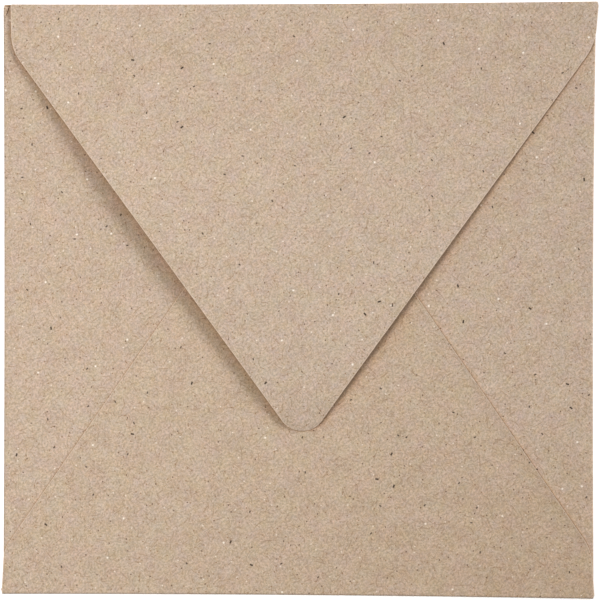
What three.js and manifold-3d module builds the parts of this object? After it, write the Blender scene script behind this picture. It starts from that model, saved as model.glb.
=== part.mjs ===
// Square envelope of recycled kraft paper with a deep pointed flap, empty, tucked shut and not sealed.
// It is one die-cut sheet folded along four creases, so the pieces are its panels and its creases,
// with the dried seam glue that holds the pocket and the gum that would seal the flap.
// Millimetres. The envelope lies on its address side, z = 0, with the back up, and +Y runs
// towards the fold of the closure flap. x = 0 and y = 0 are the middle of the pocket.

import * as THREE from 'three';
import { mergeVertices } from 'three/addons/utils/BufferGeometryUtils.js';
import Module from 'manifold-3d';

const wasm = await Module();
wasm.setup();

// Sheet
const paper = 0.17; // kraft paper of about 120 g per square metre
const pocketGap = 0.4; // air in the empty pocket, between the front panel and the side flaps
const cornerCut = 1.2; // the side creases stop this far short of the bottom crease
const topCornerCut = 0.1; // and this far short of the top crease

// Pocket
const pocketWidth = 160; // over the two side creases
const pocketHeight = 160; // from the bottom crease to the top crease
const panelCornerRadius = 0.4; // corners of the front panel, softened by the cutting die
const tabGap = 0.1; // from the panel's tab at the top left to the creases beside it
const tabInset = 0.05; // the tab stays this far inside the pocket's outer edges

// Side flaps, folded in first
const sideTipGap = 8; // between the tips of the two side flaps
const sideShoulder = 1.5; // straight run beside the crease
const sideShoulderRadius = 3;
const sideTipRadius = 12;

// Bottom flap, folded up over the side flaps
const bottomOverhang = 0.45; // each end of its crease runs this far past the pocket's side
const bottomDepth = 118; // from its crease to the rounded tip
const bottomShoulder = 12.5; // straight run beside the crease
const bottomShoulderDraft = 3.4; // degrees that the straight run leans inwards
const bottomShoulderRadius = 13;
const bottomTipRadius = 12;

// Closure flap, folded down last
const topInset = 0.55; // its crease is shorter than the pocket's width by this much at each end
const topShift = 1.7; // the crease landed this far to the right of the pocket's middle
const topDepth = 115; // from its crease to the rounded tip
const topShoulder = 11; // straight run beside the crease
const topShoulderDraft = 2.5; // degrees that the straight run leans inwards
const topShoulderRadius = 13;
const topTipRadius = 6.4;
const topCrown = 2.4; // the sheet bows up by this much between its crease and its tip
const crownStart = 0.66; // share of the depth at the first handle of the bow's curve
const crownEnd = 0.94; // and at the second, so that the bow comes down steeply at the tip
const topClearance = 0.08; // between the gum and the bottom flap where the flap lies closest

// Adhesives
const seamGlue = 0.04; // dried glue between the side flaps and the bottom flap
const seamInset = 2.5; // from the cut edge of the bottom flap
const seamWidth = 7;
const seamMargin = 2; // from the glue to the other edges of a side flap
const gum = 0.03; // dried gum on the inner face of the closure flap
const gumInset = 2; // from the cut edge of the closure flap
const gumWidth = 11;
const gumStart = 18; // from the crease to the start of the gum
const gumInnerRadius = 2;
const filmClearance = 0.01; // between the gum and the bowed face that it dried on

// Hinge of the closure flap
const creaseReach = 1.1; // the hinge lies this many bend radii beyond the end of the front panel

// Facets
const arcSteps = 12; // on each rounded corner
const bendSteps = 10; // round each crease
const crownSteps = 28; // along the bowed flap

// Levels, from the address side up. Each crease is a half ring that ends level with its two panels.
const frontLevel = 0;
const sideLevel = paper + pocketGap;
const bottomLevel = sideLevel + paper + seamGlue;
const topLevel = bottomLevel + paper + topClearance + gum + filmClearance;
const sideBend = (sideLevel + paper) / 2; // outer radius of each crease
const bottomBend = (bottomLevel + paper) / 2;
const topBend = (topLevel + paper) / 2;

// Crease lengths
const bottomBase = pocketWidth + 2 * bottomOverhang;
const topBase = pocketWidth - 2 * topInset;

// Crease lines, where the flat panels end and the bends begin
const sideCrease = pocketWidth / 2 - sideBend;
const bottomCrease = -pocketHeight / 2 + bottomBend;
const topCrease = pocketHeight / 2 - topBend;

const kraft = new THREE.MeshStandardMaterial({ color: 0xc8b096, roughness: 0.9, metalness: 0 });
const kraftFold = new THREE.MeshStandardMaterial({ color: 0xc0a78c, roughness: 0.9, metalness: 0 });
const driedGlue = new THREE.MeshStandardMaterial({ color: 0xe3d9c2, roughness: 0.5, metalness: 0 });
const driedGum = new THREE.MeshStandardMaterial({ color: 0xb9986a, roughness: 0.35, metalness: 0 });

// Outlines

// A closed outline through corners { x, y, radius }, counter-clockwise, with each corner rounded.
function roundedOutline(corners) {
  const shape = new THREE.Shape();
  corners.forEach((corner, i) => {
    const here = new THREE.Vector2(corner.x, corner.y);
    const before = corners[(i + corners.length - 1) % corners.length];
    const after = corners[(i + 1) % corners.length];
    const back = new THREE.Vector2(before.x, before.y).sub(here);
    const ahead = new THREE.Vector2(after.x, after.y).sub(here);
    const room = 0.49 * Math.min(back.length(), ahead.length());
    const half = back.angleTo(ahead) / 2;
    const tangent = Math.min((corner.radius ?? 0) / Math.tan(half), room);
    back.normalize();
    ahead.normalize();
    const start = here.clone().addScaledVector(back, tangent);
    if (i === 0) shape.moveTo(start.x, start.y);
    else shape.lineTo(start.x, start.y);
    if (tangent === 0) return;
    const radius = tangent * Math.tan(half);
    const centre = back.clone().add(ahead).normalize().multiplyScalar(radius / Math.sin(half)).add(here);
    const end = here.clone().addScaledVector(ahead, tangent);
    const clockwise = back.cross(ahead) > 0;
    const from = start.clone().sub(centre).angle();
    const to = end.clone().sub(centre).angle();
    shape.absarc(centre.x, centre.y, radius, from, to, clockwise);
  });
  shape.closePath();
  return shape;
}

// A pointed flap has its crease on y = 0 and points along +y. Its straight sides lean in by the
// draft, turn at the shoulder and run as tangents to the tip's circle.
function pointedFlap({ base, shoulder, draft = 0, shoulderRadius, depth, tipRadius }) {
  const halfBase = base / 2;
  const halfShoulder = halfBase - shoulder * Math.tan(THREE.MathUtils.degToRad(draft));
  const rise = depth - tipRadius - shoulder;
  const reach = Math.hypot(halfShoulder, rise);
  const slant = Math.atan2(halfShoulder, rise) - Math.asin(tipRadius / reach);
  const apex = shoulder + halfShoulder / Math.tan(slant);
  const outline = roundedOutline([
    { x: -halfBase, y: 0 },
    { x: halfBase, y: 0 },
    { x: halfShoulder, y: shoulder, radius: shoulderRadius },
    { x: 0, y: apex, radius: tipRadius },
    { x: -halfShoulder, y: shoulder, radius: shoulderRadius },
  ]);
  return { outline, halfShoulder, shoulder, slant, apex };
}

function plate(outline, thickness) {
  return new THREE.ExtrudeGeometry(outline, {
    depth: thickness,
    bevelEnabled: false,
    curveSegments: arcSteps,
  });
}

// Creases

// A half ring of the sheet's thickness. It runs along +x from the middle of its length, opens
// towards -y with its two ends on y = 0, and stands on z = 0.
function creaseBend(outerRadius, length) {
  const innerRadius = outerRadius - paper;
  const section = new THREE.Shape();
  section.absarc(0, outerRadius, outerRadius, -Math.PI / 2, Math.PI / 2, false);
  section.absarc(0, outerRadius, innerRadius, Math.PI / 2, -Math.PI / 2, true);
  section.closePath();
  const bend = new THREE.ExtrudeGeometry(section, {
    depth: length,
    bevelEnabled: false,
    curveSegments: bendSteps,
  });
  return bend.applyMatrix4(sectionToLength).translate(-length / 2, 0, 0);
}

// Turns a section drawn in x and y and extruded along z into one drawn in y and z along x.
const sectionToLength = new THREE.Matrix4().makeBasis(
  new THREE.Vector3(0, 1, 0),
  new THREE.Vector3(0, 0, 1),
  new THREE.Vector3(1, 0, 0),
);

// The bowed closure flap

function toSolid(geometry) {
  const bare = geometry.clone();
  bare.deleteAttribute('normal');
  bare.deleteAttribute('uv');
  const merged = mergeVertices(bare);
  return new wasm.Manifold(
    new wasm.Mesh({
      numProp: 3,
      vertProperties: new Float32Array(merged.attributes.position.array),
      triVerts: new Uint32Array(merged.index.array),
    }),
  );
}

function toGeometry(solid) {
  const mesh = solid.getMesh();
  const geometry = new THREE.BufferGeometry();
  geometry.setAttribute('position', new THREE.BufferAttribute(mesh.vertProperties, 3));
  geometry.setIndex(new THREE.BufferAttribute(mesh.triVerts, 1));
  return geometry;
}

// The bow rises gently from the crease, is highest just past the middle and drops at the tip.
const crown = new THREE.CubicBezierCurve(
  new THREE.Vector2(0, 0),
  new THREE.Vector2(topDepth * crownStart, topCrown / 0.75),
  new THREE.Vector2(topDepth * crownEnd, topCrown / 0.75),
  new THREE.Vector2(topDepth, 0),
);

// A flat outline cut out of a bowed sheet whose underside lies at the given level at the crease.
function bowedPlate(outline, level, thickness) {
  const underside = crown.getPoints(crownSteps).map((point) => new THREE.Vector2(point.x, point.y + level));
  const upperside = underside.map((point) => new THREE.Vector2(point.x, point.y + thickness)).reverse();
  const width = 2 * topBase;
  const sheet = new THREE.ExtrudeGeometry(new THREE.Shape([...underside, ...upperside]), {
    depth: width,
    bevelEnabled: false,
  });
  sheet.applyMatrix4(sectionToLength).translate(-width / 2, 0, 0);
  const room = 1 + Math.abs(level);
  const die = plate(outline, topCrown + thickness + 2 * room).translate(0, 0, -room);
  return toGeometry(toSolid(sheet).intersect(toSolid(die)));
}

// The gum is a V inside the flap's two slanted edges.
function gumOutline(flap) {
  const edge = (inset) => {
    const apex = flap.apex - inset / Math.sin(flap.slant);
    return { apex, half: (apex - gumStart) * Math.tan(flap.slant) };
  };
  const outer = edge(gumInset);
  const inner = edge(gumInset + gumWidth);
  return roundedOutline([
    { x: inner.half, y: gumStart },
    { x: outer.half, y: gumStart },
    { x: 0, y: outer.apex, radius: topTipRadius - gumInset },
    { x: -outer.half, y: gumStart },
    { x: -inner.half, y: gumStart },
    { x: 0, y: inner.apex, radius: gumInnerRadius },
  ]);
}

// Seam glue

// How far along a ray from start the line through point with the direction along is met.
function distanceTo(start, direction, point, along) {
  const gap = point.clone().sub(start);
  return gap.cross(along) / direction.cross(along);
}

// Corners of the band of glue on the left, beside the bottom flap's slanted edge and only where the
// side flap lies below it.
function leftSeamCorners(bottom, side) {
  const direction = new THREE.Vector2(Math.sin(bottom.slant), Math.cos(bottom.slant));
  const inwards = new THREE.Vector2(direction.y, -direction.x);
  const shoulder = new THREE.Vector2(-bottom.halfShoulder, bottomCrease + bottom.shoulder);
  const near = shoulder.clone().addScaledVector(inwards, seamInset);
  const far = shoulder.clone().addScaledVector(inwards, seamInset + seamWidth);
  const sideApex = side.apex - seamMargin / Math.sin(side.slant) - sideCrease;
  const meeting = new THREE.Vector2(sideApex, sideMiddle);
  const falling = new THREE.Vector2(Math.cos(side.slant), -Math.sin(side.slant));
  const rising = new THREE.Vector2(Math.cos(side.slant), Math.sin(side.slant));
  const crease = new THREE.Vector2(-sideCrease + seamMargin, 0);
  const upright = new THREE.Vector2(0, 1);
  const starts = [near, far].flatMap((edge) => [
    distanceTo(edge, direction, meeting, rising),
    distanceTo(edge, direction, crease, upright),
  ]);
  const ends = [near, far].map((edge) => distanceTo(edge, direction, meeting, falling));
  const first = Math.max(...starts);
  const last = Math.min(...ends);
  const corner = (edge, distance) => {
    const point = edge.clone().addScaledVector(direction, distance);
    return { x: point.x, y: point.y, radius: seamWidth / 3 };
  };
  return [corner(far, first), corner(far, last), corner(near, last), corner(near, first)];
}

// The same corners on the other side of x = 0, in the order that keeps them counter-clockwise.
function mirrored(corners) {
  return corners.map((corner) => ({ ...corner, x: -corner.x })).reverse();
}

// The panel between the creases. It keeps the width of the top and bottom creases up to where the
// side creases begin, because those two run a little past the pocket's sides. At the top left the
// top crease falls short of the pocket's side, and the panel fills the corner with a small tab.
function frontOutline() {
  const right = Math.max(sideCrease, topShift + topBase / 2);
  const foot = Math.max(sideCrease, bottomBase / 2);
  const tabLeft = -pocketWidth / 2 + tabInset;
  const tabRight = topShift - topBase / 2 - tabGap;
  const tabTop = pocketHeight / 2 - tabInset;
  const high = topCrease - topCornerCut;
  const low = bottomCrease + cornerCut;
  const corners = [
    { x: -foot, y: bottomCrease },
    { x: foot, y: bottomCrease },
    { x: foot, y: low, radius: panelCornerRadius },
    { x: sideCrease, y: low },
    { x: sideCrease, y: high },
    { x: right, y: high },
    { x: right, y: topCrease },
    { x: tabRight, y: topCrease },
    { x: tabRight, y: tabTop },
    { x: tabLeft, y: tabTop, radius: panelCornerRadius },
    { x: tabLeft, y: high + tabGap },
    { x: -sideCrease, y: high + tabGap },
    { x: -sideCrease, y: low },
    { x: -foot, y: low, radius: panelCornerRadius },
  ];
  return roundedOutline(corners);
}

// The four flaps as they lie in the flat blank
const sideCreaseLength = topCrease - topCornerCut - bottomCrease - cornerCut;
const sideMiddle = (topCrease - topCornerCut + bottomCrease + cornerCut) / 2;

const sideFlap = pointedFlap({
  base: sideCreaseLength,
  shoulder: sideShoulder,
  shoulderRadius: sideShoulderRadius,
  depth: sideCrease - sideTipGap / 2,
  tipRadius: sideTipRadius,
});

const bottomFlap = pointedFlap({
  base: bottomBase,
  shoulder: bottomShoulder,
  draft: bottomShoulderDraft,
  shoulderRadius: bottomShoulderRadius,
  depth: bottomDepth,
  tipRadius: bottomTipRadius,
});

const topFlap = pointedFlap({
  base: topBase,
  shoulder: topShoulder,
  draft: topShoulderDraft,
  shoulderRadius: topShoulderRadius,
  depth: topDepth,
  tipRadius: topTipRadius,
});

// The envelope

const envelope = new THREE.Group();

function addPiece(parent, name, geometry, material, position, turn = 0) {
  const piece = new THREE.Mesh(geometry, material);
  piece.name = name;
  piece.position.copy(position);
  piece.rotation.z = turn;
  parent.add(piece);
}

const at = (x, y, z) => new THREE.Vector3(x, y, z);

const pocket = new THREE.Group();
envelope.add(pocket);

addPiece(pocket, 'front_panel', plate(frontOutline(), paper), kraft, at(0, 0, frontLevel));

for (const [hand, side] of [['left', -1], ['right', 1]]) {
  const turn = side * Math.PI / 2;
  const bend = creaseBend(sideBend, sideCreaseLength);
  addPiece(pocket, `${hand}_side_crease`, bend, kraftFold, at(side * sideCrease, sideMiddle, 0), -turn);
  const panel = plate(sideFlap.outline, paper);
  addPiece(pocket, `${hand}_side_flap`, panel, kraft, at(side * sideCrease, sideMiddle, sideLevel), turn);
}

addPiece(
  pocket, 'bottom_crease', creaseBend(bottomBend, bottomBase), kraftFold,
  at(0, bottomCrease, 0), Math.PI,
);
addPiece(
  pocket, 'bottom_flap', plate(bottomFlap.outline, paper), kraft,
  at(0, bottomCrease, bottomLevel),
);

const seamLevel = bottomLevel - seamGlue;
const leftSeam = leftSeamCorners(bottomFlap, sideFlap);
for (const [name, corners] of [['left_seam_glue', leftSeam], ['right_seam_glue', mirrored(leftSeam)]]) {
  addPiece(pocket, name, plate(roundedOutline(corners), seamGlue), driedGlue, at(0, 0, seamLevel));
}

addPiece(
  pocket, 'top_crease', creaseBend(topBend, topBase), kraftFold,
  at(topShift, topCrease, 0),
);

// The closure flap swings about the middle of its crease's bend. Turning this group by a negative
// angle about x lifts the flap off the back and lays it out beyond the crease.
const hinge = at(topShift, topCrease + creaseReach * (topBend - paper / 2), topBend);
const closure = new THREE.Group();
closure.position.copy(hinge);
envelope.add(closure);

const closureOrigin = at(0, topCrease - hinge.y, topLevel - hinge.z);
addPiece(
  closure, 'top_flap', bowedPlate(topFlap.outline, 0, paper), kraft,
  closureOrigin, Math.PI,
);
addPiece(
  closure, 'flap_gum', bowedPlate(gumOutline(topFlap), -gum - filmClearance, gum), driedGum,
  closureOrigin, Math.PI,
);

export default envelope;
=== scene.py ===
import math

import bpy
import numpy as np
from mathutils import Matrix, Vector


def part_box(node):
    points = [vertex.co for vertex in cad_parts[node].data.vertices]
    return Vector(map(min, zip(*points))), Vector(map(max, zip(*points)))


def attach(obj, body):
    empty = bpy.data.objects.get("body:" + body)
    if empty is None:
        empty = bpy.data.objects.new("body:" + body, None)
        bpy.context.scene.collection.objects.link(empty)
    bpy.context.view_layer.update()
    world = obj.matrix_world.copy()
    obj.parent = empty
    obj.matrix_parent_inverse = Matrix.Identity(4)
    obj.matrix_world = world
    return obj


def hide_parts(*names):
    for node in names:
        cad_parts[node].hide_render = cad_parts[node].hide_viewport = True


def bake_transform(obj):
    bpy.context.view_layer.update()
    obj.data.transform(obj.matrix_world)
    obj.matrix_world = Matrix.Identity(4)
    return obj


# Square envelope of recycled kraft paper, shut but not sealed, on its address side with its back up.
# Metres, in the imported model's frame: +Z out of the back, +Y towards the closure flap's crease.
# Sizes in this script are in millimetres, and each mesh is turned into metres when it is made.
MM = 0.001

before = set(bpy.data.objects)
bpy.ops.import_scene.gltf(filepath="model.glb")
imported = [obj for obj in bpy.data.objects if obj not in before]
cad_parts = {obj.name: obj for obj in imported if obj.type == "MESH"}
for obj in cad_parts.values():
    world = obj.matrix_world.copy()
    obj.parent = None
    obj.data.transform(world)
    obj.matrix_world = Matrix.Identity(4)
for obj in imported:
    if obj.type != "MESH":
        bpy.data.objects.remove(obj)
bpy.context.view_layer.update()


# Front panel
# The middle of the one die-cut sheet of recycled kraft paper, with the address side on its outer face.
# All the flaps fold over from its four creases, so its size comes from where the creases begin.
def node_box(node):
    low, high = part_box(node)
    return np.array(low) / MM, np.array(high) / MM


panel_low, panel_high = node_box("front_panel")
left_crease_box = node_box("left_side_crease")
right_crease_box = node_box("right_side_crease")
SHEET = panel_high[2] - panel_low[2]
CREASE_LEFT = left_crease_box[1][0]
CREASE_RIGHT = right_crease_box[0][0]
CREASE_BOTTOM = panel_low[1]
CREASE_TOP = node_box("top_crease")[0][1]
CUT_RIM = 0.28  # the pale rim along a cut edge: the fibres that the cutting die bares, with a painted highlight
COLUMNS = 72  # faces across a sheet's mesh
ROW_STEP = 1.5  # between its rows, which stand closer in a crease
CLOSEST_ROWS = 0.01  # of two rows nearer than this, the first one stays
NARROWEST_ROW = 0.2  # a rounded tip ends at its last row wider than this, not at a point
BEND_ROWS = 16  # in a crease
ARC_POINTS = 13  # in a rounded corner
ARC_ROOM = 0.49  # share of a side that one rounded corner may take
SHARP_ANGLE = 50  # degrees between faces that aren't shaded as one
INNER_FACE_OFFSET = (431.0, 267.0)  # moves the pattern on the inner face away from the outer face's
WAVE_HEIGHT = 0.12  # of the sheet's soft waves
# the run of each wave, the run and size of its wander to the side, and where it starts, in radians
WAVES = ((27.0, 31.0, 0.9, 0.6), (23.0, 37.0, -0.7, 2.1))
POCKET_HALF = 80.0  # half of the pocket's side
# how far outwards the ends of each fold stand from its middle, and how far the middle lies inwards
RIGHT_UPPER_BOW = 0.67
RIGHT_LOWER_BOW = 0.33
RIGHT_INSET = 0.08
LEFT_BOW = 0.27
LEFT_INSET = 0.20
TOP_BOW = 0.28
TOP_INSET = 0.19
BOTTOM_BOW = 0.38
BOTTOM_INSET = 0.16
BOTTOM_TURN = 0.0015  # and how far the bottom fold is turned


def sheet_wave(x, y):
    """How far the layers of the empty envelope rise together off a flat table, in soft waves."""
    height = WAVE_HEIGHT
    for (run, wander_run, wander, start), here, aside in zip(WAVES, (x, y), (y, x)):
        height = height * (0.5 + 0.5 * np.sin(here / run + wander * np.sin(aside / wander_run) + start))
    return height


def fold_bow(x, y):
    """Shifts in the sheet's plane that let the folds bow in slightly between the envelope's corners."""
    across = x / POCKET_HALF
    up = y / POCKET_HALF
    right = np.where(y > 0, RIGHT_UPPER_BOW, RIGHT_LOWER_BOW) * up**2 - RIGHT_INSET
    left = LEFT_BOW * up**2 - LEFT_INSET
    top = TOP_BOW * across**2 - TOP_INSET
    bottom = BOTTOM_BOW * across**2 - BOTTOM_INSET - BOTTOM_TURN * x
    shift_across = np.where(x > 0, right, -left) * np.abs(across) ** 3
    shift_up = np.where(y > 0, top, -bottom) * np.abs(up) ** 3
    return shift_across, shift_up


def rounded(corners):
    """A line through corners (distance, offset, radius) with each inner corner turned on an arc."""
    line = [corners[0][:2]]
    for before, (s, x, radius), after in zip(corners, corners[1:], corners[2:]):
        if radius == 0:
            line.append((s, x))
            continue
        here = np.array((s, x))
        back = np.array(before[:2]) - here
        ahead = np.array(after[:2]) - here
        room = ARC_ROOM * min(np.hypot(*back), np.hypot(*ahead))
        back /= np.hypot(*back)
        ahead /= np.hypot(*ahead)
        half = math.acos(np.clip(back @ ahead, -1, 1)) / 2
        reach = min(radius / math.tan(half), room)
        # the arc touches both sides at this reach from the corner
        turns = np.linspace(-1, 1, ARC_POINTS) * (math.pi / 2 - half)
        towards = (back + ahead) / np.hypot(*(back + ahead))
        aside = (ahead - back) / np.hypot(*(ahead - back))
        radius = reach * math.tan(half)
        centre = here + towards * radius / math.sin(half)
        arc = np.outer(np.cos(turns), -towards * radius) + np.outer(np.sin(turns), aside * radius)
        line += [tuple(point) for point in centre + arc]
    line.append(corners[-1][:2])
    return np.array(line)


def rows_of(left, right, bend=0.0):
    """Rows (distance, left offset, right offset) that follow two edge lines, close together in a bend."""
    start, end = right[0][0], right[-1][0]
    even = np.linspace(start, end, int((end - start) / ROW_STEP))
    rims = [start + CUT_RIM, end - CUT_RIM]
    curved = np.linspace(0, bend, BEND_ROWS if bend else 1)
    stations = np.unique(np.round(np.concatenate([left[:, 0], right[:, 0], even, rims, curved]), 4))
    stations = stations[np.diff(stations, prepend=-np.inf) > CLOSEST_ROWS]
    left_offsets, right_offsets = (np.interp(stations, side[:, 0], side[:, 1]) for side in (left, right))
    rows = zip(stations, left_offsets, right_offsets)
    return [row for row in rows if row[2] - row[1] > NARROWEST_ROW]


def sheet_piece(name, rows, place, blank, cut_start, cut_end, thickness=SHEET, columns=COLUMNS):
    """A closed mesh of one sheet of paper from rows across it.

    place gives mid-sheet points and outer normals for arrays of distances and offsets, and blank gives
    the same points in the flat blank, which carries the paper's pattern over the creases.
    """
    spread = np.linspace(0, 1, columns - 1)
    distance, offset = [], []
    for s, left, right in rows:
        rim = min(CUT_RIM, (right - left) / 6)
        inner = left + rim + spread * (right - left - 2 * rim)
        offset.append(np.concatenate([[left], inner, [right]]))
        distance.append(np.full(columns + 1, s))
    distance, offset = np.array(distance), np.array(offset)
    count = distance.size
    points, normals = place(distance.ravel(), offset.ravel())
    flat = blank(distance.ravel(), offset.ravel())
    outer = points + normals * thickness / 2
    inner = points - normals * thickness / 2
    index = np.arange(count).reshape(distance.shape)
    quads = np.stack([index[:-1, :-1], index[:-1, 1:], index[1:, 1:], index[1:, :-1]], -1).reshape(-1, 4)
    edge = np.concatenate([index[0, :], index[1:, -1], index[-1, -2::-1], index[-2:0:-1, 0]])
    turned = np.roll(edge, -1)
    walls = np.stack([edge, edge + count, turned + count, turned], -1)
    facing = np.cross(outer[quads[0][1]] - outer[quads[0][0]], outer[quads[0][3]] - outer[quads[0][0]])
    if facing @ normals[quads[0][0]] < 0:
        quads = quads[:, ::-1]
        walls = walls[:, ::-1]
    faces = np.concatenate([quads, quads[:, ::-1] + count, walls])

    mesh = bpy.data.meshes.new(name)
    mesh.from_pydata((np.concatenate([outer, inner]) * MM).tolist(), [], faces.tolist())
    corner_vertex = faces.ravel()
    corner_pattern = np.concatenate([flat, flat + INNER_FACE_OFFSET])[corner_vertex]
    on_wall = np.repeat(np.arange(len(faces)) >= 2 * len(quads), 4)
    corner_pattern[on_wall] = flat[corner_vertex[on_wall] % count]
    mesh.attributes.new("blank", "FLOAT_VECTOR", "CORNER").data.foreach_set(
        "vector", np.column_stack([corner_pattern, np.zeros(len(corner_pattern))]).ravel()
    )
    # the cut rims, which the material paints paler, partly as a painted highlight
    rim = np.zeros(distance.shape)
    rim[:, 0] = rim[:, -1] = 1
    if cut_start:
        rim[0, :] = 1
    if cut_end:
        rim[-1, :] = 1
    mesh.attributes.new("pale_rim_and_highlight", "FLOAT", "POINT").data.foreach_set("value", np.tile(rim.ravel(), 2))
    mesh.shade_smooth()
    mesh.set_sharp_from_angle(angle=math.radians(SHARP_ANGLE))
    piece = bpy.data.objects.new(name, mesh)
    bpy.context.collection.objects.link(piece)
    return piece


def paint(code):
    """A linear colour from an sRGB hex code."""
    parts = [int(code[i : i + 2], 16) / 255 for i in (0, 2, 4)]
    return [c / 12.92 if c <= 0.04045 else ((c + 0.055) / 1.055) ** 2.4 for c in parts] + [1.0]


def add_node(tree, kind, links=None, **settings):
    """Adds a node. Settings are its own, and links give an input's value or the output that feeds it."""
    node = tree.nodes.new(kind)
    for key, value in settings.items():
        setattr(node, key, value)
    for key, value in (links or {}).items():
        if isinstance(value, bpy.types.NodeSocket):
            tree.links.new(value, node.inputs[key])
        else:
            node.inputs[key].default_value = value
    return node


def new_material(name):
    material = bpy.data.materials.new(name)
    material.use_nodes = True
    material.node_tree.nodes.clear()
    return material, material.node_tree


# Recycled kraft is a matte, unbleached sheet pressed from short brown fibres. Up close it is faintly
# clouded in pink and straw tones, with single darker and paler fibres, specks of bark and white flecks.
STROKE_CORE = 0.3  # share of a stroke's half width, and of its length from the middle, before it fades
CURL = 0.2  # how strongly a fibre bends at most, either way


def stroke(tree, place, length, half_width, curl=0.0):
    """A mask of one soft-ended stroke along X through the origin, bent by curl."""
    parts = add_node(tree, "ShaderNodeSeparateXYZ", {0: place})
    squared = add_node(
        tree, "ShaderNodeMath", {0: parts.outputs[0], 1: parts.outputs[0]}, operation="MULTIPLY"
    )
    bend = add_node(
        tree, "ShaderNodeMath",
        {0: squared.outputs[0], 1: curl, 2: parts.outputs[1]}, operation="MULTIPLY_ADD",
    )
    aside = add_node(tree, "ShaderNodeMath", {0: bend.outputs[0]}, operation="ABSOLUTE")
    across = add_node(
        tree, "ShaderNodeMapRange",
        {"Value": aside.outputs[0], "From Min": half_width, "From Max": STROKE_CORE * half_width},
        interpolation_type="SMOOTHSTEP",
    )
    along = add_node(tree, "ShaderNodeMath", {0: parts.outputs[0]}, operation="ABSOLUTE")
    ends = add_node(
        tree, "ShaderNodeMapRange",
        {"Value": along.outputs[0], "From Min": 0.5 * length, "From Max": STROKE_CORE * length},
        interpolation_type="SMOOTHSTEP",
    )
    mask = add_node(tree, "ShaderNodeMath", {0: across.outputs[0], 1: ends.outputs[0]}, operation="MULTIPLY")
    return mask.outputs[0]


def fibre_strokes(tree, place, cell, length, half_width, share, start):
    """A mask of short bent fibres, at most one to each cell of a loose grid, each turned its own way."""
    spread = add_node(
        tree, "ShaderNodeVectorMath",
        {0: place, 1: (1 / cell,) * 3, 2: (start, 0.7 * start, 0)}, operation="MULTIPLY_ADD",
    )
    cells = add_node(
        tree, "ShaderNodeTexVoronoi", {"Vector": spread.outputs[0], "Scale": 1.0}, voronoi_dimensions="2D"
    )
    from_centre = add_node(
        tree, "ShaderNodeVectorMath",
        {0: spread.outputs[0], 1: cells.outputs["Position"]}, operation="SUBTRACT",
    )
    in_mm = add_node(
        tree, "ShaderNodeVectorMath", {0: from_centre.outputs[0], "Scale": cell}, operation="SCALE"
    )
    chance = add_node(tree, "ShaderNodeSeparateColor", {0: cells.outputs["Color"]})
    angle = add_node(tree, "ShaderNodeMath", {0: chance.outputs[0], 1: 2 * math.pi}, operation="MULTIPLY")
    turned = add_node(
        tree, "ShaderNodeVectorRotate",
        {"Vector": in_mm.outputs[0], "Angle": angle.outputs[0]}, rotation_type="Z_AXIS",
    )
    curl = add_node(
        tree, "ShaderNodeMath", {0: chance.outputs[1], 1: 2 * CURL, 2: -CURL}, operation="MULTIPLY_ADD"
    )
    fibre = stroke(tree, turned.outputs[0], length, half_width, curl.outputs[0])
    chosen = add_node(tree, "ShaderNodeMath", {0: chance.outputs[2], 1: share}, operation="LESS_THAN")
    mask = add_node(tree, "ShaderNodeMath", {0: fibre, 1: chosen.outputs[0]}, operation="MULTIPLY")
    return mask.outputs[0]


KRAFT_BASE = "c4ae99"
KRAFT_DARK_FIBRE = "967453"
KRAFT_PALE_FIBRE = "e2d1be"
KRAFT_BARK_AND_WRINKLE_SHADOW = "5a3d27"
KRAFT_SPLINTER = "33200f"
KRAFT_WHITE_FLECK = "f8eee2"
KRAFT_CUT_EDGE_AND_HIGHLIGHT = "e6d0ba"
MIX_COLOURS = {"data_type": "RGBA"}
TINT_COLOURS = {"data_type": "RGBA", "blend_type": "MULTIPLY"}

recycled_kraft, tree = new_material("recycled_kraft_paper")
blank_place = add_node(tree, "ShaderNodeAttribute", attribute_name="blank").outputs["Vector"]
NOISE_TURN = 33  # degrees that the noises are turned, so that their grid doesn't run along the edges
noise_place = add_node(
    tree, "ShaderNodeVectorRotate",
    {"Vector": blank_place, "Angle": math.radians(NOISE_TURN)}, rotation_type="Z_AXIS",
).outputs[0]

# Each layer tints the base colour between two near-white tones: scale per mm, detail, roughness, which
# of the noise's three channels, and the two tones in linear red, green and blue.
NOISE_LOW = 0.3  # the noise hardly goes below or above these two
NOISE_HIGH = 0.7
colour = paint(KRAFT_BASE)
for scale, detail, rough, channel, low_tint, high_tint in (
    (0.16, 2.0, 0.5, 0, (0.955, 0.945, 0.925, 1), (1.045, 1.055, 1.075, 1)),
    (0.70, 3.0, 0.65, 0, (0.92, 0.89, 0.83, 1), (1.08, 1.11, 1.17, 1)),
    (0.40, 3.0, 0.6, 1, (0.962, 0.979, 1.040, 1), (1.038, 1.021, 0.960, 1)),
    (0.20, 2.0, 0.5, 2, (0.985, 1.017, 0.985, 1), (1.015, 0.983, 1.015, 1)),
    (1.8, 4.0, 0.72, 0, (0.66, 0.66, 0.65, 1), (1.32, 1.32, 1.33, 1)),
):
    noise = add_node(
        tree, "ShaderNodeTexNoise",
        {"Vector": noise_place, "Scale": scale, "Detail": detail, "Roughness": rough},
    )
    channels = add_node(tree, "ShaderNodeSeparateColor", {0: noise.outputs[1]})
    cloud = add_node(
        tree, "ShaderNodeMapRange",
        {"Value": channels.outputs[channel], "From Min": NOISE_LOW, "From Max": NOISE_HIGH},
    )
    tint = add_node(
        tree, "ShaderNodeMix", {0: cloud.outputs[0], 6: low_tint, 7: high_tint}, **MIX_COLOURS
    )
    colour = add_node(
        tree, "ShaderNodeMix", {0: 1.0, 6: colour, 7: tint.outputs[2]}, **TINT_COLOURS
    ).outputs[2]

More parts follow.
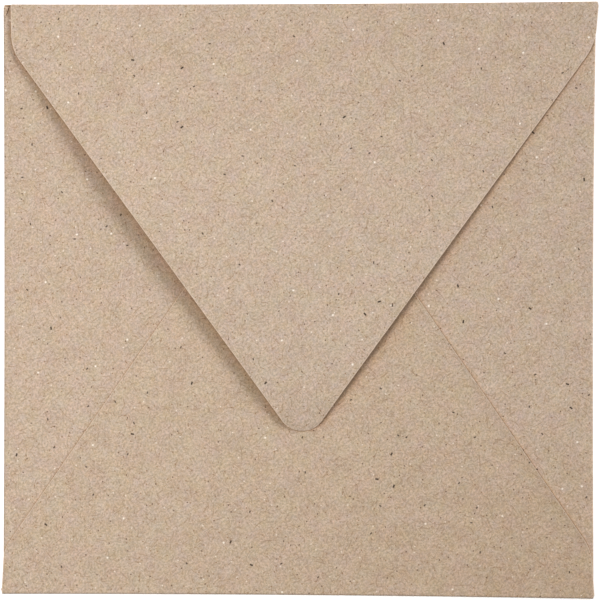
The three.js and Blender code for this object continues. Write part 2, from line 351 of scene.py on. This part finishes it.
# cell, length, half width, share of cells, start of the grid, colour and strength of each kind of fibre
# or fleck, in mm
for cell, length, half_width, share, start, shade, strength in (
    (1.1, 1.1, 0.12, 0.7, 3.0, KRAFT_PALE_FIBRE, 0.46),
    (1.3, 1.3, 0.12, 0.7, 11.0, KRAFT_DARK_FIBRE, 0.42),
    (2.4, 2.0, 0.14, 0.4, 23.0, KRAFT_PALE_FIBRE, 0.40),
    (2.9, 2.2, 0.14, 0.4, 37.0, KRAFT_DARK_FIBRE, 0.50),
    (4.6, 3.6, 0.16, 0.45, 53.0, KRAFT_DARK_FIBRE, 0.45),
    (2.6, 0.5, 0.22, 0.4, 5.0, KRAFT_DARK_FIBRE, 0.9),
    (5.0, 0.50, 0.22, 0.36, 17.0, KRAFT_BARK_AND_WRINKLE_SHADOW, 0.95),
    (9.5, 0.80, 0.27, 0.27, 61.0, KRAFT_SPLINTER, 0.90),
    (22.0, 1.1, 0.34, 0.5, 43.0, KRAFT_SPLINTER, 0.98),
    (7.0, 0.5, 0.22, 0.45, 29.0, KRAFT_WHITE_FLECK, 0.75),
    (17.0, 0.65, 0.36, 0.5, 71.0, KRAFT_WHITE_FLECK, 0.95),
):
    mask = fibre_strokes(tree, blank_place, cell, length, half_width, share, start)
    amount = add_node(tree, "ShaderNodeMath", {0: mask, 1: strength}, operation="MULTIPLY")
    colour = add_node(
        tree, "ShaderNodeMix", {0: amount.outputs[0], 6: colour, 7: paint(shade)}, **MIX_COLOURS
    ).outputs[2]

# The sheet's tone drifts a little: past the bottom crease it is darker and warmer, a painted shade of the
# sheet curving down into that crease, less so further on, and cooler towards the closure flap's tip.
# Each row gives where a drift starts and ends along the blank, and its tint.
blank_parts = add_node(tree, "ShaderNodeSeparateXYZ", {0: blank_place})
for start, end, tint in (
    (-76.0, -84.0, (0.979, 0.977, 0.957, 1)),
    (-95.0, -140.0, (1.013, 1.013, 1.009, 1)),
    (95.0, 150.0, (1.006, 1.018, 1.028, 1)),
):
    drift_and_shade = add_node(
        tree, "ShaderNodeMapRange", {"Value": blank_parts.outputs[1], "From Min": start, "From Max": end}
    )
    colour = add_node(
        tree, "ShaderNodeMix", {0: drift_and_shade.outputs[0], 6: colour, 7: tint}, **TINT_COLOURS
    ).outputs[2]

# It is browner and darker on both sides of the bottom crease, more so to the right: partly the paper's
# tone, partly painted shade of the light falling off towards the lower right.
BROWN_AND_SHADE_MIDDLE = -85.0
BROWN_AND_SHADE_REACH = 65.0
BROWN_AND_SHADE_TINT = (0.945, 0.905, 0.85, 1)
to_middle = add_node(tree, "ShaderNodeMath", {0: blank_parts.outputs[1], 1: -BROWN_AND_SHADE_MIDDLE}, operation="ADD")
from_brown_and_shade = add_node(tree, "ShaderNodeMath", {0: to_middle.outputs[0]}, operation="ABSOLUTE")
by_crease_brown_and_shade = add_node(
    tree, "ShaderNodeMapRange", {"Value": from_brown_and_shade.outputs[0], "From Min": BROWN_AND_SHADE_REACH, "From Max": 0.0}
)
lower_right_brown_and_shade = add_node(
    tree, "ShaderNodeMapRange",
    {"Value": blank_parts.outputs[0], "From Min": -40.0, "From Max": 80.0, "To Max": by_crease_brown_and_shade.outputs[0]},
)
colour = add_node(
    tree, "ShaderNodeMix", {0: lower_right_brown_and_shade.outputs[0], 6: colour, 7: BROWN_AND_SHADE_TINT}, **TINT_COLOURS
).outputs[2]

# A painted shadow of a short pressed wrinkle at the upper end of the left side flap: a dark line at its
# place in the blank.
WRINKLE_SHADOW_PLACE = (-81.4, 78.3, 0.0)
WRINKLE_SHADOW_TURN = 109.6
WRINKLE_SHADOW_LENGTH = 3.4
WRINKLE_SHADOW_HALF_WIDTH = 0.2
from_wrinkle_shadow = add_node(
    tree, "ShaderNodeVectorMath", {0: blank_place, 1: WRINKLE_SHADOW_PLACE}, operation="SUBTRACT"
)
on_wrinkle_shadow = add_node(
    tree, "ShaderNodeVectorRotate",
    {"Vector": from_wrinkle_shadow.outputs[0], "Angle": -math.radians(WRINKLE_SHADOW_TURN)}, rotation_type="Z_AXIS",
)
wrinkle_shadow = stroke(tree, on_wrinkle_shadow.outputs[0], WRINKLE_SHADOW_LENGTH, WRINKLE_SHADOW_HALF_WIDTH)
colour = add_node(
    tree, "ShaderNodeMix", {0: wrinkle_shadow, 6: colour, 7: paint(KRAFT_BARK_AND_WRINKLE_SHADOW)}, **MIX_COLOURS
).outputs[2]

# Painted shade: where ambient occlusion finds a narrow gap, by the flaps' raised edges and along the
# seams, the paper's colour is darkened and browned, most of all in the deepest gaps.
PAINTED_SHADE_REACH = 9.0
PAINTED_SHADE_TINT = (0.84, 0.62, 0.42, 1)
DEEPEST_PAINTED_SHADE_TINT = (0.67, 0.585, 0.49, 1)
shade_occlusion = add_node(tree, "ShaderNodeAmbientOcclusion", {"Distance": PAINTED_SHADE_REACH * MM}, samples=6)
painted_shade = add_node(
    tree, "ShaderNodeMapRange", {"Value": shade_occlusion.outputs["AO"], "From Min": 0.97, "From Max": 0.50}
)
deepest_painted_shade = add_node(
    tree, "ShaderNodeMapRange", {"Value": painted_shade.outputs[0], "From Min": 0.8, "From Max": 1.0}
)
painted_shade_colour = add_node(
    tree, "ShaderNodeMix", {0: painted_shade.outputs[0], 6: (1, 1, 1, 1), 7: PAINTED_SHADE_TINT}, **MIX_COLOURS
)
painted_shade_colour = add_node(
    tree, "ShaderNodeMix", {0: deepest_painted_shade.outputs[0], 6: painted_shade_colour.outputs[2], 7: DEEPEST_PAINTED_SHADE_TINT}, **MIX_COLOURS
)
colour = add_node(
    tree, "ShaderNodeMix", {0: 1.0, 6: colour, 7: painted_shade_colour.outputs[2]}, **TINT_COLOURS
).outputs[2]

# Cut edges are paler: partly the unpressed fibres that the die bares, partly a painted highlight along
# the rim.
RIM_PALENESS_AND_HIGHLIGHT = 0.85
pale_rim_and_highlight = add_node(tree, "ShaderNodeAttribute", attribute_name="pale_rim_and_highlight")
rim_pale_and_highlight = add_node(
    tree, "ShaderNodeMath", {0: pale_rim_and_highlight.outputs["Fac"], 1: RIM_PALENESS_AND_HIGHLIGHT}, operation="MULTIPLY"
)
colour = add_node(
    tree, "ShaderNodeMix", {0: rim_pale_and_highlight.outputs[0], 6: colour, 7: paint(KRAFT_CUT_EDGE_AND_HIGHLIGHT)}, **MIX_COLOURS
).outputs[2]

# The paper is matte, with a fine tooth.
TOOTH_HEIGHT = 0.05
tooth = add_node(
    tree, "ShaderNodeTexNoise", {"Vector": noise_place, "Scale": 2.6, "Detail": 4.0, "Roughness": 0.7}
)
grain = add_node(
    tree, "ShaderNodeBump", {"Strength": 0.5, "Distance": TOOTH_HEIGHT * MM, "Height": tooth.outputs[0]}
)
kraft_surface = add_node(
    tree, "ShaderNodeBsdfPrincipled",
    {"Base Color": colour, "Roughness": 0.88, "IOR": 1.5, "Normal": grain.outputs[0]},
)
add_node(tree, "ShaderNodeOutputMaterial", {0: kraft_surface.outputs[0]})


def paper_finish(piece):
    piece.data.materials.append(recycled_kraft)


# The panel's edge lines run up its two sides. At its foot, beside the bottom crease, it is a little
# wider than between the side creases, and worn at the corners.
PANEL_CORNER = 0.4  # radius of its rounded corners
FOOT_SHIFT = -0.2  # the foot is folded this far off the middle
FOOT_WEAR = 0.4
FOOT_STEP = 0.01  # run of the step in from the foot to a side crease
TAB_GAP = 0.1  # between the creases and the corner that they leave bare
TAB_INSET = 0.05  # between the left crease's outer face and that corner
foot_high = left_crease_box[0][1]
panel_top = left_crease_box[1][1] + TAB_GAP


def panel_edge(side, crease):
    foot = -side * panel_low[0] + FOOT_SHIFT
    return rounded([
        (CREASE_BOTTOM, foot - side * FOOT_WEAR, 0),
        (CREASE_BOTTOM + FOOT_WEAR, foot, 0),
        (foot_high, foot, PANEL_CORNER),
        (foot_high + FOOT_STEP, crease, 0),
        (panel_top, crease, 0),
    ])


def place_panel(s, x):
    aside, along = fold_bow(x, s)
    points = np.column_stack([x + aside, s + along, SHEET / 2 + sheet_wave(x, s)])
    return points, np.tile((0.0, 0.0, -1.0), (len(s), 1))


front = sheet_piece(
    "front_panel_sheet", rows_of(panel_edge(-1, CREASE_LEFT), panel_edge(1, CREASE_RIGHT)), place_panel,
    lambda s, x: np.column_stack([x, s]), cut_start=False, cut_end=False,
)
# the corner that the closure flap's crease leaves bare at the top left, rounded at its outer end
tab_left = left_crease_box[0][0] + TAB_INSET
tab_right = node_box("top_crease")[0][0] - TAB_GAP
tab_rows = [(CREASE_TOP, tab_left, tab_right)]
for turn in np.radians((0, 30, 60, 90)):
    s = panel_high[1] - PANEL_CORNER * (1 - math.sin(turn))
    tab_rows.append((s, tab_left + PANEL_CORNER * (1 - math.cos(turn)), tab_right))
tab = sheet_piece(
    "front_panel_corner", tab_rows, place_panel, lambda s, x: np.column_stack([x, s]),
    cut_start=False, cut_end=True,
)
for piece in (front, tab):
    paper_finish(piece)
    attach(piece, "pocket")
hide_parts("front_panel")


# Flaps
# Each flap bends up out of the front panel on a tight crease and folds over onto the back. Its straight
# sides turn at rounded shoulders into two slanted edges, which run out into a rounded tip.
# Wear is how far handling has rounded a crease's end where it is a corner of the envelope.
WEAR_AT_CREASE = 0.3  # share of the wear that is left at the crease line
WEAR_REACH = 0.4  # how far past the crease line it ends
TIP_POINTS = 14  # on half of a flap's tip
TILT_STEP = 0.5  # step over which a lifted sheet's slope is taken


def flap_edge(half_base, half_shoulder, shoulder, shoulder_radius, depth, tip_radius, bend, wear=0.0):
    """The right-hand edge line of a pointed flap, from its crease line round the bend to its tip."""
    rise = depth - tip_radius - shoulder
    slant = math.atan2(half_shoulder, rise) - math.asin(tip_radius / math.hypot(half_shoulder, rise))
    apex = shoulder + half_shoulder / math.tan(slant)
    line = rounded([
        (-bend, half_base - wear, 0),
        (-bend / 2, half_base - wear, 0),
        (0, half_base - WEAR_AT_CREASE * wear, 0),
        (WEAR_REACH, half_base, 0),
        (shoulder, half_shoulder, shoulder_radius),
        (apex, 0, 0),
    ])
    centre = depth - tip_radius
    touch = centre + tip_radius * math.sin(slant)
    line = line[line[:, 0] < touch]
    turns = np.linspace(slant, math.pi / 2, TIP_POINTS)
    tip = np.column_stack([centre + tip_radius * np.sin(turns), tip_radius * np.cos(turns)])
    return np.concatenate([line, tip]) + (bend, 0)


def mirror_edge(edge):
    return edge * (1, -1)


def crease_path(s, outer_radius, lift=None, aside=0.0):
    """Where a folded sheet's middle runs, for distances s from the crease line.

    It gives the reach beyond the crease line, the height, and the outer normal in that plane. The
    height gains what lift gives for the distance past the bend and the relative place across.
    """
    radius = outer_radius - SHEET / 2
    bend = math.pi * radius
    angle = np.clip(s / radius, 0, math.pi)
    past = np.clip(s - bend, 0, None)
    reach = radius * np.sin(angle) - past
    height = outer_radius - radius * np.cos(angle)
    tilt = np.zeros(len(s))
    if lift is not None:
        height = height + lift(past, aside)
        rise = lift(past + TILT_STEP, aside) - lift(past, aside)
        tilt = np.where(s > bend, rise / TILT_STEP, 0.0)
    normal_reach = np.where(s > bend, tilt, np.sin(angle))
    normal_height = np.where(s > bend, 1.0, -np.cos(angle))
    size = np.hypot(normal_reach, normal_height)
    return reach, height, normal_reach / size, normal_height / size


# Side flaps
# The left and right flaps are folded in first. Their rounded tips stop just short of each other, and
# their upper edges slope down from the top corners, which makes the pocket's mouth.
SIDE_SHOULDER = 1.5
SIDE_SHOULDER_RADIUS = 3.0
SIDE_TIP_RADIUS = 12.0

for hand, side in (("left", -1), ("right", 1)):
    crease_low, crease_high = node_box(f"{hand}_side_crease")
    flap_low, flap_high = node_box(f"{hand}_side_flap")
    crease_radius = crease_high[2] / 2
    crease_x = CREASE_RIGHT if side > 0 else CREASE_LEFT
    middle = (crease_low[1] + crease_high[1]) / 2
    half = (crease_high[1] - crease_low[1]) / 2
    bend = math.pi * (crease_radius - SHEET / 2)
    depth = flap_high[0] - flap_low[0]
    edge = flap_edge(half, half, SIDE_SHOULDER, SIDE_SHOULDER_RADIUS, depth, SIDE_TIP_RADIUS, bend)

    def place_side(s, y, side=side, crease_x=crease_x, middle=middle, radius=crease_radius):
        reach, height, across, up = crease_path(s, radius)
        x = crease_x + side * reach
        y = middle + y
        aside, along = fold_bow(x, y)
        points = np.column_stack([x + aside, y + along, height + sheet_wave(x, y)])
        return points, np.column_stack([side * across, np.zeros(len(s)), up])

    def side_blank(s, y, side=side, crease_x=crease_x, middle=middle):
        return np.column_stack([crease_x + side * s, middle + y])

    flap = sheet_piece(
        f"{hand}_side_flap_sheet", rows_of(mirror_edge(edge), edge, bend), place_side, side_blank,
        cut_start=False, cut_end=True,
    )
    paper_finish(flap)
    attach(flap, "pocket")
    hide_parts(f"{hand}_side_flap", f"{hand}_side_crease")


# Bottom flap
# It is folded up over the two side flaps and glued to them along its slanted edges. Its crease is a
# little longer than the pocket is wide, so its shoulders stand past the pocket's sides.

# each side's half width at the shoulder, the shoulder's distance and radius, the tip's radius, and wear
BOTTOM_LEFT_SIDE = (79.9, 11.5, 8.0, 11.8, 0.1)
BOTTOM_RIGHT_SIDE = (79.7, 12.5, 14.0, 12.0, 0.35)
BOTTOM_RIM_LIFT = 0.13  # the right-hand rim outside the seam glue stands up by this much
BOTTOM_RIM = 2.4  # over this width
BOTTOM_RIM_START = 9.5  # starting at this distance round the crease
BOTTOM_RIM_RUN = 10.0  # and growing over this one
BOTTOM_LEAN = 0.0035  # how far the flap leans to the right, for each mm of its depth

bottom_low, bottom_high = node_box("bottom_flap")
bottom_radius = node_box("bottom_crease")[1][2] / 2
bottom_bend = math.pi * (bottom_radius - SHEET / 2)
bottom_depth = bottom_high[1] - bottom_low[1]
bottom_left, bottom_right = (
    flap_edge(
        bottom_high[0], half_shoulder, shoulder, shoulder_radius, bottom_depth, tip_radius, bottom_bend, wear
    )
    for half_shoulder, shoulder, shoulder_radius, tip_radius, wear in (BOTTOM_LEFT_SIDE, BOTTOM_RIGHT_SIDE)
)


def place_bottom(s, x):
    reach, height, across, up = crease_path(s, bottom_radius)
    to_rim = np.interp(s, bottom_right[:, 0], bottom_right[:, 1]) - x
    grown = np.clip((s - BOTTOM_RIM_START) / BOTTOM_RIM_RUN, 0, 1)
    height = height + BOTTOM_RIM_LIFT * grown * np.clip(1 - to_rim / BOTTOM_RIM, 0, 1) ** 2
    x = x + BOTTOM_LEAN * s
    y = CREASE_BOTTOM - reach
    along = fold_bow(x, y)[1]
    return (
        np.column_stack([x, y + along, height + sheet_wave(x, y)]),
        np.column_stack([np.zeros(len(s)), -across, up]),
    )


bottom_sheet = sheet_piece(
    "bottom_flap_sheet", rows_of(mirror_edge(bottom_left), bottom_right, bottom_bend), place_bottom,
    lambda s, x: np.column_stack([x, CREASE_BOTTOM - s]), cut_start=False, cut_end=True,
)
paper_finish(bottom_sheet)
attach(bottom_sheet, "pocket")
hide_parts("bottom_flap", "bottom_crease")


# Closure flap
# The last flap, folded down and left unstuck, so the stiff sheet springs up in a low bow between its
# crease and its tip. It is one sheet with its crease.
TOP_SHIFT = 1.7  # the crease was folded this far to the right
TOP_DEPTH = 114.8  # from the end of the crease's bend to the tip
# shares of the depth at the two handles of the bow's curve, the second one for its steep end at the tip
CROWN_START = 0.66
CROWN_END = 0.92
CROWN_POINTS = 200
# how much more than the bow each edge springs up, at shares of the flap's depth
LEFT_SPRING = (
    (0.0, -0.6), (0.12, -0.4), (0.23, -0.18), (0.46, 0.17), (0.58, -0.01), (0.72, -0.28), (0.86, -0.28),
    (1.0, -0.1),
)
RIGHT_SPRING = ((0.0, -0.6), (0.23, -0.58), (0.36, -0.46), (0.47, -0.25), (0.70, -0.07), (0.94, 0.18))
LEFT_DRAW = 0.42  # how far the bow draws the left edge in
LEAST_HALF = 4.0  # the tip's last rows count as at least this wide to each side
# each side's half width at the crease and at the shoulder, the shoulder's distance and radius, the tip's
# radius, and wear
TOP_LEFT_SIDE = (79.7, 79.45, 11.65, 13.0, 6.9, 0.0)
TOP_RIGHT_SIDE = (79.55, 78.7, 10.73, 15.5, 6.6, 0.35)

top_radius = node_box("top_crease")[1][2] / 2
top_bend = math.pi * (top_radius - SHEET / 2)
top_crown = node_box("top_flap")[1][2] - 2 * top_radius


def crown_lift(past, aside):
    """The bow of the closure flap, a cubic curve from crease to tip, to which each edge adds its spring."""
    t = np.linspace(0, 1, CROWN_POINTS)
    run = 3 * (1 - t) ** 2 * t * CROWN_START + 3 * (1 - t) * t**2 * CROWN_END + t**3
    rise = 4 * (1 - t) * t
    left, right = (np.interp(past / TOP_DEPTH, *zip(*edge)) for edge in (LEFT_SPRING, RIGHT_SPRING))
    spring = left + (right - left) * (1 + aside) / 2
    return np.interp(past, run * TOP_DEPTH, rise * top_crown) * (1 + spring)


def top_edge(half_base, half_shoulder, shoulder, shoulder_radius, tip_radius, wear):
    return flap_edge(
        half_base, half_shoulder, shoulder, shoulder_radius, TOP_DEPTH, tip_radius, top_bend, wear
    )


closure_right = top_edge(*TOP_RIGHT_SIDE)
closure_left = mirror_edge(top_edge(*TOP_LEFT_SIDE))


def place_top(s, x):
    half = np.maximum(np.interp(s, closure_right[:, 0], closure_right[:, 1]), LEAST_HALF)
    aside = np.clip(x / half, -1, 1)
    reach, height, across, up = crease_path(s, top_radius, crown_lift, aside)
    drawn = LEFT_DRAW * crown_lift(np.clip(s - top_bend, 0, None), aside) / top_crown
    x = x + TOP_SHIFT + drawn * np.clip(-aside, 0, 1)
    y = CREASE_TOP + reach
    along = fold_bow(x, y)[1]
    return (
        np.column_stack([x, y + along, height + sheet_wave(x, y)]),
        np.column_stack([np.zeros(len(s)), across, up]),
    )


closure = sheet_piece(
    "closure_flap_sheet", rows_of(closure_left, closure_right, top_bend), place_top,
    lambda s, x: np.column_stack([x + TOP_SHIFT, CREASE_TOP + s]), cut_start=False, cut_end=True,
)
paper_finish(closure)
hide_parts("top_flap", "top_crease")
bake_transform(closure)


# Flap gum
# A V of brown dextrin gum, rolled on wet inside the closure flap's slanted edges and dried to a thin,
# glossy film with slightly uneven edges. It stays with the flap and would seal it once moistened.
GUM = 0.03  # thickness of the dried film
GUM_START = 18.0  # from the crease to the V's two arms
GUM_INSET = 2.0  # from a slanted edge to the gum
GUM_WIDTH = 11.0
GUM_SLANT = 36  # degrees between a slanted edge and the middle line
GUM_ROWS = 90
GUM_COLUMNS = 12
GUM_NARROWEST = 0.3  # an arm ends where it gets narrower than this, by the tip
# size and run of the waves in its outer and in its inner edge
OUTER_WAVE = (0.2, 2.3)
INNER_WAVE = (0.3, 3.7)

dried_gum, tree = new_material("dried_dextrin_gum")
gum_place = add_node(tree, "ShaderNodeAttribute", attribute_name="blank").outputs["Vector"]
gum_noise = add_node(tree, "ShaderNodeTexNoise", {"Vector": gum_place, "Scale": 0.35, "Detail": 4.0})
gum_colour = add_node(
    tree, "ShaderNodeMix",
    {0: gum_noise.outputs[0], 6: paint("a98a62"), 7: paint("c3a780")}, **MIX_COLOURS,
)
gum_waves = add_node(
    tree, "ShaderNodeBump", {"Strength": 0.5, "Distance": GUM * MM, "Height": gum_noise.outputs[0]}
)
gum_surface = add_node(
    tree, "ShaderNodeBsdfPrincipled",
    {"Base Color": gum_colour.outputs[2], "Roughness": 0.22, "IOR": 1.47, "Normal": gum_waves.outputs[0]},
)
add_node(tree, "ShaderNodeOutputMaterial", {0: gum_surface.outputs[0]})


def place_gum(s, x):
    points, normals = place_top(s, x)
    return points - normals * (SHEET + GUM) / 2, normals


across_slant = math.cos(math.radians(GUM_SLANT))
for name, edge, side in (("flap_gum_left", closure_left, -1), ("flap_gum_right", closure_right, 1)):
    gum_rows = []
    for s in np.linspace(top_bend + GUM_START, edge[-1][0], GUM_ROWS):
        half = abs(np.interp(s, edge[:, 0], edge[:, 1]))
        outer = half - GUM_INSET / across_slant + OUTER_WAVE[0] * math.sin(s / OUTER_WAVE[1] + side)
        inner = half - (GUM_INSET + GUM_WIDTH) / across_slant + INNER_WAVE[0] * math.sin(s / INNER_WAVE[1])
        inner = max(inner, 0)
        if outer - inner > GUM_NARROWEST:
            gum_rows.append((s, *sorted((side * outer, side * inner))))
    band = sheet_piece(
        name, gum_rows, place_gum, lambda s, x: np.column_stack([x, s]), cut_start=False, cut_end=False,
        thickness=GUM, columns=GUM_COLUMNS,
    )
    band.data.materials.append(dried_gum)
    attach(band, "flap")
    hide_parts("flap_gum")


# Seam glue
# Two dried bands of white glue between the bottom flap and the side flaps. They lie inside the seams,
# so their shapes from the CAD model stay, with a smooth, slightly yellowed finish.
dried_glue, tree = new_material("dried_white_glue")
glue_surface = add_node(
    tree, "ShaderNodeBsdfPrincipled", {"Base Color": paint("e3d9c2"), "Roughness": 0.45, "IOR": 1.46}
)
add_node(tree, "ShaderNodeOutputMaterial", {0: glue_surface.outputs[0]})
for node in ("left_seam_glue", "right_seam_glue"):
    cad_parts[node].data.materials.clear()
    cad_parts[node].data.materials.append(dried_glue)


# Studio
# A white table, which fades to plain white further out, in a white room with two soft lamps. A low one
# from the upper right throws the closure flap's shadow to the left, and a near one lights the left half.
# The places and sizes of lamps and table are in metres.
def soft_lamp(name, place, size, power, colour):
    data = bpy.data.lights.new(name, "AREA")
    data.shape = "DISK"
    data.size = size
    data.energy = power
    data.color = colour
    lamp = bpy.data.objects.new(name, data)
    bpy.context.collection.objects.link(lamp)
    lamp.location = place
    towards = -Vector(place)
    lamp.rotation_mode = "QUATERNION"
    lamp.rotation_quaternion = towards.to_track_quat("-Z", "Y")


soft_lamp("low_right_lamp", (2.44, 1.14, 1.27), 1.15, 84.8, (0.943, 0.967, 1.0))
soft_lamp("near_left_lamp", (-0.18, 0.01, 0.40), 0.25, 1.22, (1.0, 0.97, 0.93))

world = bpy.data.worlds.new("white_room")
bpy.context.scene.world = world
world.use_nodes = True
world.node_tree.nodes.clear()
room = add_node(world.node_tree, "ShaderNodeBackground", {"Color": (1.0, 0.88, 0.78, 1), "Strength": 0.08})
seen = add_node(world.node_tree, "ShaderNodeBackground", {"Color": (1, 1, 1, 1), "Strength": 1.0})


def seen_rays(tree):
    """1 for the rays that show the background: those from the camera, and off gloss or through glass."""
    path = add_node(tree, "ShaderNodeLightPath")
    mirrored = add_node(
        tree, "ShaderNodeMath",
        {0: path.outputs["Is Glossy Ray"], 1: path.outputs["Is Transmission Ray"]}, operation="MAXIMUM",
    )
    return add_node(
        tree, "ShaderNodeMath",
        {0: path.outputs["Is Camera Ray"], 1: mirrored.outputs[0]}, operation="MAXIMUM",
    ).outputs[0]


sky = add_node(
    world.node_tree, "ShaderNodeMixShader",
    {0: seen_rays(world.node_tree), 1: room.outputs[0], 2: seen.outputs[0]},
)
add_node(world.node_tree, "ShaderNodeOutputWorld", {0: sky.outputs[0]})

TABLE_HALF = 3.0
GLOW_MIDDLE = 0.55  # strength of the table's own glow by the envelope, where the lamps add the rest
GLOW_START = 0.2  # distance from the middle at which it starts to grow
GLOW_FULL = 0.8  # and at which it is full
table_mesh = bpy.data.meshes.new("white_table")
table_corners = [(x * TABLE_HALF, y * TABLE_HALF, 0) for x, y in ((-1, -1), (1, -1), (1, 1), (-1, 1))]
table_mesh.from_pydata(table_corners, [], [(0, 1, 2, 3)])
table = bpy.data.objects.new("white_table", table_mesh)
bpy.context.collection.objects.link(table)
white_laminate, tree = new_material("white_laminate")
surface = add_node(
    tree, "ShaderNodeBsdfPrincipled", {"Base Color": (0.85, 0.85, 0.85, 1), "Roughness": 0.6}
)
spot = add_node(tree, "ShaderNodeNewGeometry")
from_middle = add_node(tree, "ShaderNodeVectorMath", {0: spot.outputs["Position"]}, operation="LENGTH")
glow_strength = add_node(
    tree, "ShaderNodeMapRange",
    {
        "Value": from_middle.outputs["Value"], "From Min": GLOW_START, "From Max": GLOW_FULL,
        "To Min": GLOW_MIDDLE,
    },
)
glow = add_node(tree, "ShaderNodeEmission", {"Color": (1, 1, 1, 1), "Strength": glow_strength.outputs[0]})
seen_glow = add_node(tree, "ShaderNodeMixShader", {0: seen_rays(tree), 2: glow.outputs[0]})
both = add_node(tree, "ShaderNodeAddShader", {0: surface.outputs[0], 1: seen_glow.outputs[0]})
add_node(tree, "ShaderNodeOutputMaterial", {0: both.outputs[0]})
table.data.materials.append(white_laminate)

# The camera stands about a metre above the table, a little to the right, and looks almost straight
# down. Its lens frames the 160 mm pocket almost edge to edge in the square picture. Its place is in mm.
CAMERA_PLACE = (93.45, 12.7, 993.1)
CAMERA_TURN = (-0.727, 5.322, 0.079)  # degrees about X, Y and Z
FOCAL_PIXELS = 3690.0
PICTURE_PIXELS = 600.0
SENSOR = 36.0

camera_data = bpy.data.cameras.new("camera")
camera_data.sensor_width = SENSOR
camera_data.lens = SENSOR * FOCAL_PIXELS / PICTURE_PIXELS
camera_data.clip_start = 0.01
camera = bpy.data.objects.new("camera", camera_data)
bpy.context.collection.objects.link(camera)
camera.location = [c * MM for c in CAMERA_PLACE]
camera.rotation_euler = [math.radians(a) for a in CAMERA_TURN]
bpy.context.scene.camera = camera
bpy.context.scene.view_settings.view_transform = "Standard"
